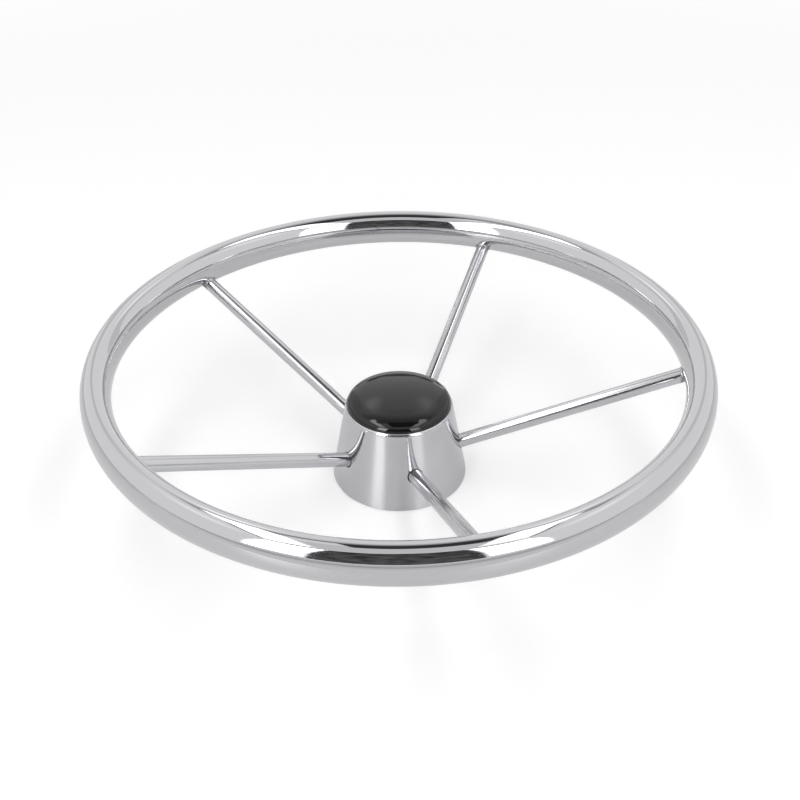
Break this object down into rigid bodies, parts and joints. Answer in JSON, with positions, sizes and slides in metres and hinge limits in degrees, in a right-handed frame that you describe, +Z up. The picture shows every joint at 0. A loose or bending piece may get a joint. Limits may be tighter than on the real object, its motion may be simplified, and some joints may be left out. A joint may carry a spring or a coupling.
{
  "type": "boat steering wheel",
  "caption": "Dished stainless boat steering wheel: a polished oval-tube rim on straight bar spokes, a conical hub shell over a tapered boss, and a black press-in centre cap.",
  "frame": {"origin": "centre of the hub's back face, on the steering shaft's axis, which is also the plane the wheel stands on", "axes": "+Z up the shaft's axis, from the helm towards the centre cap; the first spoke is 3.6 degrees clockwise of +X, seen from above"},
  "size_m": [0.39, 0.39, 0.1055],
  "materials": {
    "polished_stainless": "mirror-polished stainless steel",
    "satin_stainless": "fine satin polish on drawn stainless sheet",
    "turned_stainless": "turned stainless steel, as machined",
    "nylon": "natural nylon",
    "black_plastic": "moulded black ABS, high gloss",
    "black_rubber": "nitrile rubber"
  },
  "bodies": {
    "wheel": {"rim": "polished_stainless", "spoke_1": "polished_stainless", "spoke_2": "polished_stainless", "spoke_3": "polished_stainless", "spoke_4": "polished_stainless", "spoke_5": "polished_stainless", "hub_shell": "satin_stainless", "back_plate": "satin_stainless", "hub_boss": "turned_stainless", "shaft_washer": "turned_stainless", "shaft_nut": "turned_stainless", "nut_insert": "nylon"},
    "cap": {"centre_cap": "black_plastic", "cap_ring": "black_rubber"}
  },
  "joints": [
    {"name": "cap_lift", "type": "slide", "parent": "wheel", "child": "cap", "axis": [0, 0, 1], "range_m": [0, 0.06]}
  ]
}
